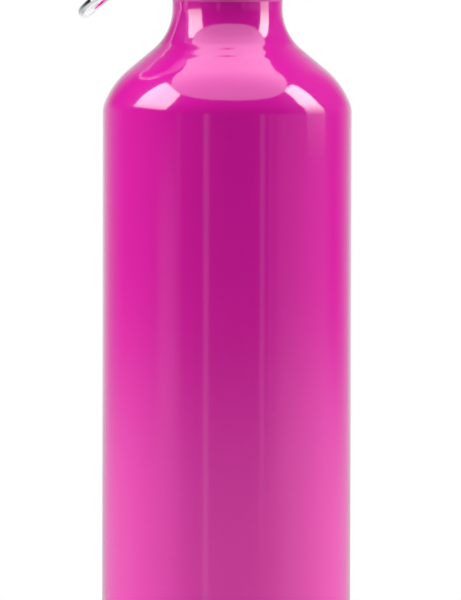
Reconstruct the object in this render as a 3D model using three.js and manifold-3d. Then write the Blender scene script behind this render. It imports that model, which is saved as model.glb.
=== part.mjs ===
// Aluminium drinking bottle: a one-piece necked shell with a thread insert in its neck, a screw-in cap
// with a carrying loop, and a carabiner with a sprung gate that hangs on the loop.
// Millimetres, +Z up. The origin is on the bottle's axis, at the plane that it stands on.
import * as THREE from "three";
import { mergeVertices } from "three/addons/utils/BufferGeometryUtils.js";
import Module from "manifold-3d";

const wasm = await Module();
wasm.setup();

const TURN = 2 * Math.PI;
const radians = THREE.MathUtils.degToRad;

// Bottle shell
const BODY_RADIUS = 36.5;
const WALL = 1.0;
const PANEL_RADIUS = 24; // the flat panel inside the standing ring
const PANEL_HEIGHT = 1.0; // how far that panel stands off the table
const RING_INNER_RADIUS = 26.5;
const HEEL_RADIUS = 6;
const FLOOR_HEIGHT = 2.6; // inside face of the base
const BODY_TOP = 183.85; // the straight wall ends here
const CORNER_RADIUS = 8.6; // tight lower turn of the shoulder
const CORNER_ANGLE = radians(22);
const CROWN_RADIUS = 24.3; // slower upper turn of the shoulder
const SHOULDER_SLOPE = radians(50.3); // steepest slope of the shoulder, from upright
const NECK_FILLET_RADIUS = 15.45;
const NECK_RADIUS = 16.15;
const NECK_STRAIGHT = 1.35;
const FLARE_RADIUS = 3.9; // the neck opens out again under the lip
const FLARE_ANGLE = radians(50);
const LIP_BEAD_RADIUS = 1.5;
const LIP_RECESS_RADIUS = 16.2; // seat for the insert's flange
const LIP_RECESS_DEPTH = 1.45;
const LIP_EDGE = 0.15;

// From here to the carabiner, heights are measured from the top of the lip.

// Thread shared by the insert and the stopper
const THREAD_PITCH = 3.5;
const RIDGE_ROOT_WIDTH = 1.5;
const RIDGE_CREST_WIDTH = 0.8;
const RIDGE_EMBED = 0.4; // how far a ridge is sunk in the wall that it stands on
const RIDGE_TURNS = 1.6;
const RIDGE_RUN_OUT_STEPS = 6;
const RIDGE_SINK = 0.2; // the ridge's ends sink into the wall by this share of its height
const INSERT_RIDGE_START = -8.85;
const STOPPER_RIDGE_DROP = 1.45; // the stopper's ridge bears on the insert's ridge from below

// Thread insert
const INSERT_OUTER_RADIUS = 14.8;
const INSERT_BORE_RADIUS = 13.9;
const INSERT_CREST_RADIUS = 12.7;
const INSERT_BOTTOM = -11.95;
const INSERT_TOP = -0.15;
const INSERT_FLANGE_RADIUS = 15.9;
const INSERT_FLANGE_THICKNESS = 1.0;

// Seal ring
const SEAL_INNER_RADIUS = 12.75;
const SEAL_OUTER_RADIUS = 16.9;
const SEAL_BOTTOM = 0.3;
const SEAL_THICKNESS = 1.5;
const SEAL_EDGE = 0.35;

// Threaded stopper
const STEM_RADIUS = 12.2;
const STEM_CREST_RADIUS = 13.35;
const STEM_BORE_RADIUS = 10.4;
const STEM_BOTTOM = -12.95;
const STEM_FLOOR = 1.8;
const STEM_CHAMFER = 0.8;
const STOPPER_FLANGE_RADIUS = 16.8;
const STOPPER_FLANGE_BOTTOM = 1.95;
const STOPPER_FLANGE_THICKNESS = 1.8;

// Cap shell and its loop
const CAP_BOTTOM = 0.55;
const CAP_TOP = 12.15;
const CAP_BOTTOM_RADIUS = 18.5;
const CAP_TOP_RADIUS = 17.9;
const CAP_EDGE_RADIUS = 3.2;
const CAP_FOOT_CHAMFER = 0.5;
const CAP_SKIRT_BORE = 17.4;
const CAP_LEDGE = 4.05; // the stopper's flange sits against this ledge
const CAP_CAVITY_RADIUS = 15.8;
const CAP_ROOF = 3.2;
const FLUTE_COUNT = 30;
const FLUTE_RADIUS = 1.1;
const FLUTE_DEPTH = 0.45;
const FLUTE_BOTTOM = -0.45; // runs out through the foot of the cap
const FLUTE_TOP = 8.75;
const LOOP_INNER_RADIUS = 9.5;
const LOOP_OUTER_RADIUS = 13.5;
const LOOP_CENTRE_HEIGHT = 18.12;
const LOOP_THICKNESS = 6.4;
const LOOP_EDGE = 1.6;
const LOOP_FOOT_RADIUS = 1.4;
const LOOP_ROOT = 2.9; // how far its feet are sunk in the cap

// Carabiner, drawn flat: x runs from the end in the loop to the far end, y across, z through it
const LINK_SLOPE = radians(40.2); // how steeply it hangs down over the cap's rim
const LINK_LENGTH = 48.7; // between the bar's centres at the two ends
const BAR_RADIUS = 2;
const SMALL_END_RADIUS = 9;
const LARGE_END_RADIUS = 11;
const LOOP_PLAY = 0.5; // gap between the bar and the inside of the loop
const HINGE_STATION = 3.5; // along the straight gate side, from the end of the small bend
const LATCH_STATION = 25.7;
const HINGE_SETBACK = 2.4; // the full bar starts this far behind the hinge
const NOSE_SETBACK = 2.0; // the full bar starts again this far past the latch

// Gate and its small parts, drawn from the hinge with x along the gate
const TONGUE_THICKNESS = 1.5;
const SLOT_WIDTH = 1.9;
const TONGUE_RADIUS = 1.85;
const TONGUE_ARM_HALF_HEIGHT = 1.65;
const JOIN_OVERLAP = 0.8; // how far the tongue and the nose run into the bar
const CAM_FLAT = 1.1; // the plunger bears on a flat this far from the hinge
const HINGE_SLOT_END = 3.2;
const GATE_OVERHANG = 1.5; // past the latch pin
const NOSE_SLOT_DEPTH = 2.7;
const RIVET_RADIUS = 0.62;
const PIN_RADIUS = 0.6;
const PIN_PLAY = 0.16;
const PIN_HALF_LENGTH = 1.9;
const RIVET_HEAD_RADIUS = 1.05;
const RIVET_HEAD_HEIGHT = 0.4;
const RIVET_HEAD_RIM = 0.12;
const RIVET_CROWN_RADIUS = 0.63;
const RIVET_HALF_LENGTH = 2.08;
const NOTCH_HALF_WIDTH = 0.9;
const NOSE_REACH = 2.0;
const NOSE_HALF_HEIGHT = 1.75;
const BORE_RADIUS = 1.2;
const BORE_END = 12.6;
const PLUNGER_RADIUS = 0.85;
const PLUNGER_TIP = 1.25;
const PLUNGER_LENGTH = 5;
const SPRING_RADIUS = 0.86;
const SPRING_WIRE_RADIUS = 0.15;
const SPRING_TURNS = 7;
const SPRING_START = 6.6;
const SPRING_END = 12.3;

const SHELL_SEGMENTS = 48;
const RING_SEGMENTS = 48;
const BAR_SIDES = 12;
const BAR_STEPS = 56;
const PIN_SIDES = 12;
const DISC_SIDES = 20;
const FLUTE_SIDES = 8;
const CLEAR = 3; // cutters run this far past the middle of the bar
const CURL_STEPS = 8;
const WIRE_SIDES = 5;

// Solids and geometry

function solidOf(geometry) {
  const bare = geometry.clone();
  bare.deleteAttribute("normal");
  bare.deleteAttribute("uv");
  const merged = mergeVertices(bare, 1e-4);
  const mesh = new wasm.Mesh({
    numProp: 3,
    vertProperties: new Float32Array(merged.attributes.position.array),
    triVerts: new Uint32Array(merged.index.array),
  });
  return new wasm.Manifold(mesh);
}

function geometryOf(solid) {
  const mesh = solid.getMesh();
  const geometry = new THREE.BufferGeometry();
  geometry.setAttribute("position", new THREE.BufferAttribute(mesh.vertProperties, 3));
  geometry.setIndex(new THREE.BufferAttribute(mesh.triVerts, 1));
  return geometry;
}

function add(first, ...others) {
  let solid = solidOf(first);
  for (const other of others) solid = solid.add(solidOf(other));
  return geometryOf(solid);
}

function cut(first, ...tools) {
  let solid = solidOf(first);
  for (const tool of tools) solid = solid.subtract(solidOf(tool));
  return geometryOf(solid);
}

function keep(first, second) {
  return geometryOf(solidOf(first).intersect(solidOf(second)));
}

function box(low, high) {
  const size = high.map((value, axis) => value - low[axis]);
  const geometry = new THREE.BoxGeometry(...size);
  return geometry.translate(...low.map((value, axis) => value + size[axis] / 2));
}

function rodAlongZ(radius, low, high, sides) {
  const geometry = new THREE.CylinderGeometry(radius, radius, high - low, sides);
  return geometry.rotateX(Math.PI / 2).translate(0, 0, (low + high) / 2);
}

function rodAlongX(radius, low, high, sides) {
  return rodAlongZ(radius, low, high, sides).rotateY(Math.PI / 2);
}

function arc(centre, radius, from, to, steps) {
  const points = [];
  for (let step = 0; step <= steps; step++) {
    const angle = from + ((to - from) * step) / steps;
    points.push([centre[0] + radius * Math.cos(angle), centre[1] + radius * Math.sin(angle)]);
  }
  return points;
}

function turned(profile, segments) {
  const points = profile.map(([radius, height]) => new THREE.Vector2(radius, height));
  return new THREE.LatheGeometry(points, segments).rotateX(Math.PI / 2);
}

// A tube of quadrilateral or many-sided sections, closed by flat ends; each section is a list of points.
function skin(sections) {
  const sides = sections[0].length;
  const last = (sections.length - 1) * sides;
  const index = [];
  for (let row = 0; row < sections.length - 1; row++) {
    for (let side = 0; side < sides; side++) {
      const a = row * sides + side;
      const b = row * sides + ((side + 1) % sides);
      index.push(a, b, a + sides, b, b + sides, a + sides);
    }
  }
  for (let side = 1; side < sides - 1; side++) {
    index.push(0, side + 1, side);
    index.push(last, last + side, last + side + 1);
  }
  const geometry = new THREE.BufferGeometry();
  const position = new Float32Array(sections.flat(2));
  geometry.setAttribute("position", new THREE.BufferAttribute(position, 3));
  geometry.setIndex(index);
  return geometry;
}

// Bottle shell

const cornerCentre = [BODY_RADIUS - CORNER_RADIUS, BODY_TOP];
const crownCentre = [
  cornerCentre[0] + (CORNER_RADIUS - CROWN_RADIUS) * Math.cos(CORNER_ANGLE),
  cornerCentre[1] + (CORNER_RADIUS - CROWN_RADIUS) * Math.sin(CORNER_ANGLE),
];
const filletCentre = neckFilletCentre();
const neckTop = filletCentre[1] + NECK_STRAIGHT;
const flareCentre = [NECK_RADIUS + FLARE_RADIUS, neckTop];
const beadCentre = [
  flareCentre[0] - (FLARE_RADIUS + LIP_BEAD_RADIUS) * Math.cos(FLARE_ANGLE),
  flareCentre[1] + (FLARE_RADIUS + LIP_BEAD_RADIUS) * Math.sin(FLARE_ANGLE),
];
const lipTop = beadCentre[1] + LIP_BEAD_RADIUS;

function neckFilletCentre() {
  const radius = NECK_RADIUS + NECK_FILLET_RADIUS;
  const coneStart = [
    crownCentre[0] + CROWN_RADIUS * Math.cos(SHOULDER_SLOPE),
    crownCentre[1] + CROWN_RADIUS * Math.sin(SHOULDER_SLOPE),
  ];
  const coneEndRadius = radius - NECK_FILLET_RADIUS * Math.cos(SHOULDER_SLOPE);
  const coneRise = (coneStart[0] - coneEndRadius) / Math.tan(SHOULDER_SLOPE);
  return [radius, coneStart[1] + coneRise + NECK_FILLET_RADIUS * Math.sin(SHOULDER_SLOPE)];
}

// The shoulder from the straight wall up to the neck, moved in by an inset.
function shoulder(inset, steps) {
  const filletRadius = NECK_FILLET_RADIUS + inset;
  return [
    ...arc(cornerCentre, CORNER_RADIUS - inset, 0, CORNER_ANGLE, steps),
    ...arc(crownCentre, CROWN_RADIUS - inset, CORNER_ANGLE, SHOULDER_SLOPE, steps).slice(1),
    ...arc(filletCentre, filletRadius, Math.PI + SHOULDER_SLOPE, Math.PI, steps + 2),
  ];
}

function bottleShell() {
  const heelCentre = [BODY_RADIUS - HEEL_RADIUS, HEEL_RADIUS];
  const innerHeel = HEEL_RADIUS - WALL;
  const outside = [
    [0, PANEL_HEIGHT],
    [PANEL_RADIUS, PANEL_HEIGHT],
    [RING_INNER_RADIUS, 0],
    ...arc(heelCentre, HEEL_RADIUS, -Math.PI / 2, 0, 5),
    ...shoulder(0, 4),
    ...arc(flareCentre, FLARE_RADIUS, Math.PI, Math.PI - FLARE_ANGLE, 3),
    ...arc(beadCentre, LIP_BEAD_RADIUS, -FLARE_ANGLE, Math.PI / 2, 6).slice(1),
  ];
  const inside = [
    [LIP_RECESS_RADIUS, lipTop - LIP_EDGE],
    [LIP_RECESS_RADIUS, lipTop - LIP_RECESS_DEPTH],
    [NECK_RADIUS - WALL, lipTop - LIP_RECESS_DEPTH],
    ...shoulder(WALL, 3).reverse(),
    ...arc([heelCentre[0], FLOOR_HEIGHT + innerHeel], innerHeel, 0, -Math.PI / 2, 3),
    [0, FLOOR_HEIGHT],
  ];
  return turned([...outside, ...inside], SHELL_SEGMENTS);
}

// Thread

// A helical ridge on a round wall. Its sections fall in the middle of the wall's facets.
function ridge(wallRadius, crestRadius, startHeight) {
  const outward = Math.sign(crestRadius - wallRadius);
  const foot = wallRadius - outward * RIDGE_EMBED;
  const steps = Math.round(RIDGE_TURNS * RING_SEGMENTS);
  const sections = [];
  for (let step = 0; step <= steps; step++) {
    const angle = ((step + 0.5) / RING_SEGMENTS) * TURN;
    const height = startHeight + (THREAD_PITCH * step) / RING_SEGMENTS;
    const fullness = Math.min(1, step / RIDGE_RUN_OUT_STEPS, (steps - step) / RIDGE_RUN_OUT_STEPS);
    const crest = wallRadius + (crestRadius - wallRadius) * (fullness * (1 + RIDGE_SINK) - RIDGE_SINK);
    sections.push(ridgeSection(foot, crest, angle, height, outward));
  }
  return skin(sections);
}

function ridgeSection(foot, crest, angle, height, outward) {
  const place = (radius, rise) => [radius * Math.cos(angle), radius * Math.sin(angle), height + rise];
  const root = (RIDGE_ROOT_WIDTH / 2) * outward;
  const top = (RIDGE_CREST_WIDTH / 2) * outward;
  return [place(foot, -root), place(foot, root), place(crest, top), place(crest, -top)];
}

function neckThreadInsert() {
  const flangeBottom = INSERT_TOP - INSERT_FLANGE_THICKNESS;
  const ring = turned(
    [
      [INSERT_BORE_RADIUS, INSERT_BOTTOM],
      [INSERT_OUTER_RADIUS, INSERT_BOTTOM],
      [INSERT_OUTER_RADIUS, flangeBottom],
      [INSERT_FLANGE_RADIUS, flangeBottom],
      [INSERT_FLANGE_RADIUS, INSERT_TOP],
      [INSERT_BORE_RADIUS, INSERT_TOP],
      [INSERT_BORE_RADIUS, INSERT_BOTTOM],
    ],
    RING_SEGMENTS,
  );
  return add(ring, ridge(INSERT_BORE_RADIUS, INSERT_CREST_RADIUS, INSERT_RIDGE_START));
}

function threadedStopper() {
  const flangeTop = STOPPER_FLANGE_BOTTOM + STOPPER_FLANGE_THICKNESS;
  const plug = turned(
    [
      [0, STEM_BOTTOM],
      [STEM_RADIUS - STEM_CHAMFER, STEM_BOTTOM],
      [STEM_RADIUS, STEM_BOTTOM + STEM_CHAMFER],
      [STEM_RADIUS, STOPPER_FLANGE_BOTTOM],
      [STOPPER_FLANGE_RADIUS, STOPPER_FLANGE_BOTTOM],
      [STOPPER_FLANGE_RADIUS, flangeTop],
      [STEM_BORE_RADIUS, flangeTop],
      [STEM_BORE_RADIUS, STEM_BOTTOM + STEM_FLOOR],
      [0, STEM_BOTTOM + STEM_FLOOR],
    ],
    RING_SEGMENTS,
  );
  return add(plug, ridge(STEM_RADIUS, STEM_CREST_RADIUS, INSERT_RIDGE_START - STOPPER_RIDGE_DROP));
}

function sealRing() {
  const top = SEAL_BOTTOM + SEAL_THICKNESS;
  return turned(
    [
      [SEAL_INNER_RADIUS, SEAL_BOTTOM],
      [SEAL_OUTER_RADIUS - SEAL_EDGE, SEAL_BOTTOM],
      [SEAL_OUTER_RADIUS, SEAL_BOTTOM + SEAL_EDGE],
      [SEAL_OUTER_RADIUS, top - SEAL_EDGE],
      [SEAL_OUTER_RADIUS - SEAL_EDGE, top],
      [SEAL_INNER_RADIUS, top],
      [SEAL_INNER_RADIUS, SEAL_BOTTOM],
    ],
    RING_SEGMENTS,
  );
}

// Cap

const capTaper = Math.atan((CAP_BOTTOM_RADIUS - CAP_TOP_RADIUS) / (CAP_TOP - CAP_BOTTOM));

function capWallRadius(height) {
  return CAP_BOTTOM_RADIUS - (height - CAP_BOTTOM) * Math.tan(capTaper);
}

function capPot() {
  const edgeCentre = [CAP_TOP_RADIUS - CAP_EDGE_RADIUS, CAP_TOP - CAP_EDGE_RADIUS];
  return turned(
    [
      [CAP_SKIRT_BORE, CAP_BOTTOM],
      [CAP_BOTTOM_RADIUS - CAP_FOOT_CHAMFER, CAP_BOTTOM],
      [CAP_BOTTOM_RADIUS, CAP_BOTTOM + CAP_FOOT_CHAMFER],
      ...arc(edgeCentre, CAP_EDGE_RADIUS, capTaper, Math.PI / 2, 6),
      [0, CAP_TOP],
      [0, CAP_TOP - CAP_ROOF],
      [CAP_CAVITY_RADIUS, CAP_TOP - CAP_ROOF],
      [CAP_CAVITY_RADIUS, CAP_LEDGE],
      [CAP_SKIRT_BORE, CAP_LEDGE],
      [CAP_SKIRT_BORE, CAP_BOTTOM],
    ],
    FLUTE_COUNT * 2,
  );
}

function gripFlutes() {
  const flutes = [];
  const middle = (FLUTE_BOTTOM + FLUTE_TOP) / 2;
  const length = FLUTE_TOP - FLUTE_BOTTOM;
  const reach = capWallRadius(middle) + FLUTE_RADIUS - FLUTE_DEPTH;
  for (let count = 0; count < FLUTE_COUNT; count++) {
    const flute = rodAlongZ(FLUTE_RADIUS, -length / 2, length / 2, FLUTE_SIDES);
    flute.rotateY(-capTaper).translate(reach, 0, middle);
    flutes.push(flute.rotateZ(((count + 0.5) / FLUTE_COUNT) * TURN));
  }
  return flutes;
}

// The loop's outline seen from the front, anticlockwise from the inside of its right foot.
function loopOutline() {
  const foot = CAP_TOP - LOOP_ROOT;
  const heel = CAP_TOP + LOOP_FOOT_RADIUS;
  const inner = LOOP_INNER_RADIUS - LOOP_FOOT_RADIUS;
  const outer = LOOP_OUTER_RADIUS + LOOP_FOOT_RADIUS;
  const quarter = Math.PI / 2;
  return [
    [inner, foot],
    [outer, foot],
    ...arc([outer, heel], LOOP_FOOT_RADIUS, -quarter, -Math.PI, 3),
    ...arc([0, LOOP_CENTRE_HEIGHT], LOOP_OUTER_RADIUS, 0, Math.PI, 16),
    ...arc([-outer, heel], LOOP_FOOT_RADIUS, 0, -quarter, 3),
    [-outer, foot],
    [-inner, foot],
    ...arc([-inner, heel], LOOP_FOOT_RADIUS, -quarter, -Math.PI, 3),
    ...arc([0, LOOP_CENTRE_HEIGHT], LOOP_INNER_RADIUS, Math.PI, 0, 16),
    ...arc([inner, heel], LOOP_FOOT_RADIUS, 0, -quarter, 3),
  ];
}

function carryingLoop() {
  const outline = new THREE.Shape(loopOutline().map(([x, z]) => new THREE.Vector2(x, z)));
  const loop = new THREE.ExtrudeGeometry(outline, {
    depth: LOOP_THICKNESS - 2 * LOOP_EDGE,
    bevelThickness: LOOP_EDGE,
    bevelSize: LOOP_EDGE,
    bevelOffset: -LOOP_EDGE,
    bevelSegments: 3,
  });
  return loop.rotateX(Math.PI / 2).translate(0, LOOP_THICKNESS / 2 - LOOP_EDGE, 0);
}

function capShell() {
  return add(cut(capPot(), ...gripFlutes()), carryingLoop());
}

// Carabiner

const sideAngle = Math.asin(
  (LARGE_END_RADIUS - SMALL_END_RADIUS) / (LINK_LENGTH - LARGE_END_RADIUS - SMALL_END_RADIUS),
);
const sideNormal = [-Math.sin(sideAngle), Math.cos(sideAngle)];
const loopReach = LOOP_INNER_RADIUS - BAR_RADIUS - LOOP_PLAY;
const linkPivot = new THREE.Vector3(
  -loopReach * Math.sin(LINK_SLOPE),
  0,
  LOOP_CENTRE_HEIGHT + loopReach * Math.cos(LINK_SLOPE),
);
const gateLength = LATCH_STATION - HINGE_STATION;

// A point on the straight gate side of the link, at a distance from the end of the small bend.
function gateSide(station) {
  return new THREE.Vector3(
    SMALL_END_RADIUS + SMALL_END_RADIUS * sideNormal[0] + station * Math.cos(sideAngle),
    SMALL_END_RADIUS * sideNormal[1] + station * Math.sin(sideAngle),
    0,
  );
}

// The bar's centre line, from the hinge round the small end, along the spine and round the far end.
class LinkLine extends THREE.Curve {
  constructor() {
    super();
    const start = gateSide(HINGE_STATION - HINGE_SETBACK);
    const bend = gateSide(0);
    const end = gateSide(LATCH_STATION + NOSE_SETBACK);
    const side = Math.PI / 2 + sideAngle;
    const farCentre = LINK_LENGTH - LARGE_END_RADIUS;
    this.path = new THREE.Path().moveTo(start.x, start.y).lineTo(bend.x, bend.y);
    this.path.absarc(SMALL_END_RADIUS, 0, SMALL_END_RADIUS, side, TURN - side, false);
    this.path.absarc(farCentre, 0, LARGE_END_RADIUS, -side, side, false);
    this.path.lineTo(end.x, end.y);
  }

  getPoint(share, target = new THREE.Vector3()) {
    const point = this.path.getPointAt(share);
    return target.set(point.x, point.y, 0);
  }
}

function bentBar() {
  const section = new THREE.Shape().absarc(0, 0, BAR_RADIUS, 0, TURN, false);
  return new THREE.ExtrudeGeometry(section, {
    steps: BAR_STEPS,
    extrudePath: new LinkLine(),
    curveSegments: BAR_SIDES / 2,
  });
}

function hingeTongue() {
  const half = TONGUE_THICKNESS / 2;
  const root = -HINGE_SETBACK - JOIN_OVERLAP;
  const disc = rodAlongZ(TONGUE_RADIUS, -half, half, DISC_SIDES);
  const arm = box([root, -TONGUE_ARM_HALF_HEIGHT, -half], [0, TONGUE_ARM_HALF_HEIGHT, half]);
  const flatSide = box([CAM_FLAT, -CLEAR, -CLEAR], [CLEAR, CLEAR, CLEAR]);
  const hole = rodAlongZ(RIVET_RADIUS + PIN_PLAY, -CLEAR, CLEAR, PIN_SIDES);
  return cut(add(disc, arm), flatSide, hole);
}

function latchNose() {
  const half = TONGUE_THICKNESS / 2;
  const tip = gateLength - NOSE_REACH;
  const root = gateLength + NOSE_SETBACK + JOIN_OVERLAP;
  const blade = box([tip, -NOSE_HALF_HEIGHT, -half], [root, NOSE_HALF_HEIGHT, half]);
  const left = gateLength - NOTCH_HALF_WIDTH;
  const right = gateLength + NOTCH_HALF_WIDTH;
  const notch = box([left, -CLEAR, -CLEAR], [right, 0, CLEAR]);
  const notchEnd = rodAlongZ(NOTCH_HALF_WIDTH, -CLEAR, CLEAR, DISC_SIDES).translate(gateLength, 0, 0);
  return cut(blade, notch, notchEnd);
}

function carabinerBody() {
  const atHinge = new THREE.Matrix4().makeRotationZ(sideAngle).setPosition(gateSide(HINGE_STATION));
  return add(bentBar(), hingeTongue().applyMatrix4(atHinge), latchNose().applyMatrix4(atHinge));
}

function carabinerGate() {
  const end = gateLength + GATE_OVERHANG;
  const halfSlot = SLOT_WIDTH / 2;
  const rod = rodAlongX(BAR_RADIUS, -BAR_RADIUS, end, BAR_SIDES);
  const knuckle = rodAlongZ(BAR_RADIUS, -CLEAR, CLEAR, DISC_SIDES);
  const plan = add(knuckle, box([0, -CLEAR, -CLEAR], [end + CLEAR, CLEAR, CLEAR]));
  const hingeSlot = box([-CLEAR, -CLEAR, -halfSlot], [HINGE_SLOT_END, CLEAR, halfSlot]);
  const noseSlot = box([gateLength - NOSE_SLOT_DEPTH, -CLEAR, -halfSlot], [end + CLEAR, CLEAR, halfSlot]);
  const springBore = rodAlongX(BORE_RADIUS, CAM_FLAT, BORE_END, PIN_SIDES);
  const rivetHole = rodAlongZ(RIVET_RADIUS + PIN_PLAY, -CLEAR, CLEAR, PIN_SIDES);
  const pinHole = rodAlongZ(PIN_RADIUS + PIN_PLAY, -CLEAR, CLEAR, PIN_SIDES).translate(gateLength, 0, 0);
  return cut(keep(rod, plan), hingeSlot, noseSlot, springBore, rivetHole, pinHole);
}

function gateHingeRivet() {
  const tip = RIVET_HALF_LENGTH + RIVET_HEAD_HEIGHT;
  const rim = RIVET_HALF_LENGTH + RIVET_HEAD_RIM;
  return turned(
    [
      [0, -tip],
      [RIVET_CROWN_RADIUS, -tip],
      [RIVET_HEAD_RADIUS, -rim],
      [RIVET_HEAD_RADIUS, -RIVET_HALF_LENGTH],
      [RIVET_RADIUS, -RIVET_HALF_LENGTH],
      [RIVET_RADIUS, RIVET_HALF_LENGTH],
      [RIVET_HEAD_RADIUS, RIVET_HALF_LENGTH],
      [RIVET_HEAD_RADIUS, rim],
      [RIVET_CROWN_RADIUS, tip],
      [0, tip],
    ],
    PIN_SIDES,
  );
}

function gateLatchPin() {
  return rodAlongZ(PIN_RADIUS, -PIN_HALF_LENGTH, PIN_HALF_LENGTH, PIN_SIDES);
}

function gatePlunger() {
  return rodAlongX(PLUNGER_RADIUS, PLUNGER_TIP, PLUNGER_TIP + PLUNGER_LENGTH, PIN_SIDES);
}

function springCentre(turns) {
  const angle = turns * TURN;
  const along = SPRING_START + ((SPRING_END - SPRING_START) * turns) / SPRING_TURNS;
  return new THREE.Vector3(along, SPRING_RADIUS * Math.cos(angle), SPRING_RADIUS * Math.sin(angle));
}

function springSection(turns) {
  const centre = springCentre(turns);
  const outward = new THREE.Vector3(0, centre.y, centre.z).normalize();
  const nudge = 0.5 / CURL_STEPS;
  const forward = springCentre(turns + nudge).sub(springCentre(turns - nudge)).normalize();
  const across = new THREE.Vector3().crossVectors(forward, outward);
  const section = [];
  for (let side = 0; side < WIRE_SIDES; side++) {
    const angle = (side / WIRE_SIDES) * TURN;
    const point = centre.clone().addScaledVector(outward, SPRING_WIRE_RADIUS * Math.cos(angle));
    point.addScaledVector(across, SPRING_WIRE_RADIUS * Math.sin(angle));
    section.push(point.toArray());
  }
  return section;
}

// The least gap between the wire's surface on one curl and on the next, over the points of the centre line.
function springGap(steps) {
  let nearest = Infinity;
  for (let step = 0; step <= steps; step++) {
    for (let other = step + CURL_STEPS - 2; other <= steps; other++) {
      const apart = springCentre(step / CURL_STEPS).distanceTo(springCentre(other / CURL_STEPS));
      nearest = Math.min(nearest, apart);
    }
  }
  return nearest - 2 * SPRING_WIRE_RADIUS;
}

function gateSpring() {
  const steps = SPRING_TURNS * CURL_STEPS;
  const sections = [];
  for (let step = 0; step <= steps; step++) sections.push(springSection(step / CURL_STEPS));
  console.log(`gate spring: least gap between curls ${springGap(steps).toFixed(2)} mm`);
  return skin(sections);
}

// Assembly: the cap screws into the neck, the carabiner hangs in the cap's loop, the gate turns in it

function place(parent, name, geometry, colour, roughness, metalness) {
  const material = new THREE.MeshStandardMaterial({ color: colour, roughness, metalness });
  const mesh = new THREE.Mesh(geometry, material);
  mesh.name = name;
  parent.add(mesh);
  return mesh;
}

const bottle = new THREE.Group();
const neck = new THREE.Group();
const cap = new THREE.Group();
const link = new THREE.Group();
const gate = new THREE.Group();
neck.position.z = lipTop;
link.position.copy(linkPivot);
link.rotation.set(0, -LINK_SLOPE, Math.PI);
gate.position.copy(gateSide(HINGE_STATION));
gate.rotation.z = sideAngle;
bottle.add(neck.add(cap.add(link.add(gate))));

place(bottle, "bottle_shell", bottleShell(), 0xd2208f, 0.18, 0.2);
place(neck, "neck_thread_insert", neckThreadInsert(), 0xe9e7e1, 0.5, 0);
place(cap, "seal_ring", sealRing(), 0xd9dcde, 0.6, 0);
place(cap, "threaded_stopper", threadedStopper(), 0x242426, 0.5, 0);
place(cap, "cap_shell", capShell(), 0x1b1b1d, 0.45, 0);
place(link, "carabiner_body", carabinerBody(), 0xc8cbd0, 0.15, 1);
place(link, "gate_hinge_rivet", gateHingeRivet(), 0xb2b5ba, 0.3, 1).position.copy(gate.position);
place(gate, "carabiner_gate", carabinerGate(), 0xc8cbd0, 0.18, 1);
place(gate, "gate_latch_pin", gateLatchPin(), 0xb2b5ba, 0.3, 1).position.x = gateLength;
place(gate, "gate_plunger", gatePlunger(), 0xa9acb1, 0.35, 1);
place(gate, "gate_spring", gateSpring(), 0x9a9da3, 0.35, 1);

export default bottle;
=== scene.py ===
# The looks of an aluminium drinking bottle: a lacquered one-piece shell with a thread insert in its neck,
# a black screw cap with a carrying loop, and a polished carabiner that hangs on the loop.
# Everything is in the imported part's frame. Sizes below are in millimetres, and meshes are made in metres.
import math

import bpy
from mathutils import Matrix, Vector


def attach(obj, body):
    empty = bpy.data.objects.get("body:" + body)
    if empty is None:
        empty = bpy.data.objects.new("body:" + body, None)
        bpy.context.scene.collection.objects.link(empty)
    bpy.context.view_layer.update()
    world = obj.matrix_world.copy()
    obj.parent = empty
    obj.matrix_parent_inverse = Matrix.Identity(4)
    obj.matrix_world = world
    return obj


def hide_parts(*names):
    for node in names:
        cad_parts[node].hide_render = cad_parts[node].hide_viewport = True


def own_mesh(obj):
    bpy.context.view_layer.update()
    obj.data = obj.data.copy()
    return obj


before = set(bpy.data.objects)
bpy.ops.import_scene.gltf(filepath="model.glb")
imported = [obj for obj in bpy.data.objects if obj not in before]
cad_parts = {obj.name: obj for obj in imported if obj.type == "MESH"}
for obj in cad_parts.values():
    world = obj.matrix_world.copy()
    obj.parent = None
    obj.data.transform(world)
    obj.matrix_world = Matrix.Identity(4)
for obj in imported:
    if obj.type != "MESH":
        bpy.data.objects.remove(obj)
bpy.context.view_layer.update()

MM = 0.001
TURN = 2 * math.pi
QUARTER = math.pi / 2
SOFT_SHARE = 0.45  # most of a side that a softened corner takes
RESTING = Matrix.Identity(4)

# Bottle shell
BODY_RADIUS = 36.5
WALL = 1.0
PANEL_RADIUS = 24
PANEL_HEIGHT = 1.0
RING_INNER_RADIUS = 26.5
BASE_EDGE = 0.7
HEEL_RADIUS = 6
FLOOR_HEIGHT = 2.6
BODY_TOP = 183.85
CORNER_RADIUS = 8.6
CORNER_ANGLE = math.radians(22)
CROWN_RADIUS = 24.3
SHOULDER_SLOPE = math.radians(50.3)
NECK_FILLET_RADIUS = 15.45
NECK_RADIUS = 16.15
NECK_STRAIGHT = 1.73
FLARE_RADIUS = 3.4
FLARE_ANGLE = math.radians(50)
LIP_BEAD_RADIUS = 1.5
LIP_RECESS_RADIUS = 16.2
LIP_RECESS_DEPTH = 1.45
LIP_EDGE = 0.15
LIP_PAINT_ANGLE = math.radians(58)  # the lacquer stops here on the bead
# Faint rings at the foot of the neck, where the shell was drawn in
FORMING_RING_PITCH = 3.2
FORMING_RING_HEIGHT = 202.0
FORMING_RING_DEPTH = 0.024
FORMING_RING_RISE = (198.6, 201.2)
FORMING_RING_FALL = (203.8, 206.0)

# From here to the carabiner, heights are measured from the top of the lip

# Thread
THREAD_PITCH = 3.5
RIDGE_ROOT_WIDTH = 1.5
RIDGE_CREST_WIDTH = 0.8
RIDGE_TURNS = 1.6
RIDGE_RUN_OUT = 0.125  # turns over which a ridge rises at either end
RIDGE_START_TURN = 1 / 96
INSERT_RIDGE_START = -8.85
STOPPER_RIDGE_START = -10.3
THREAD_ROW = 0.14  # height of a row of faces on a threaded wall

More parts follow.
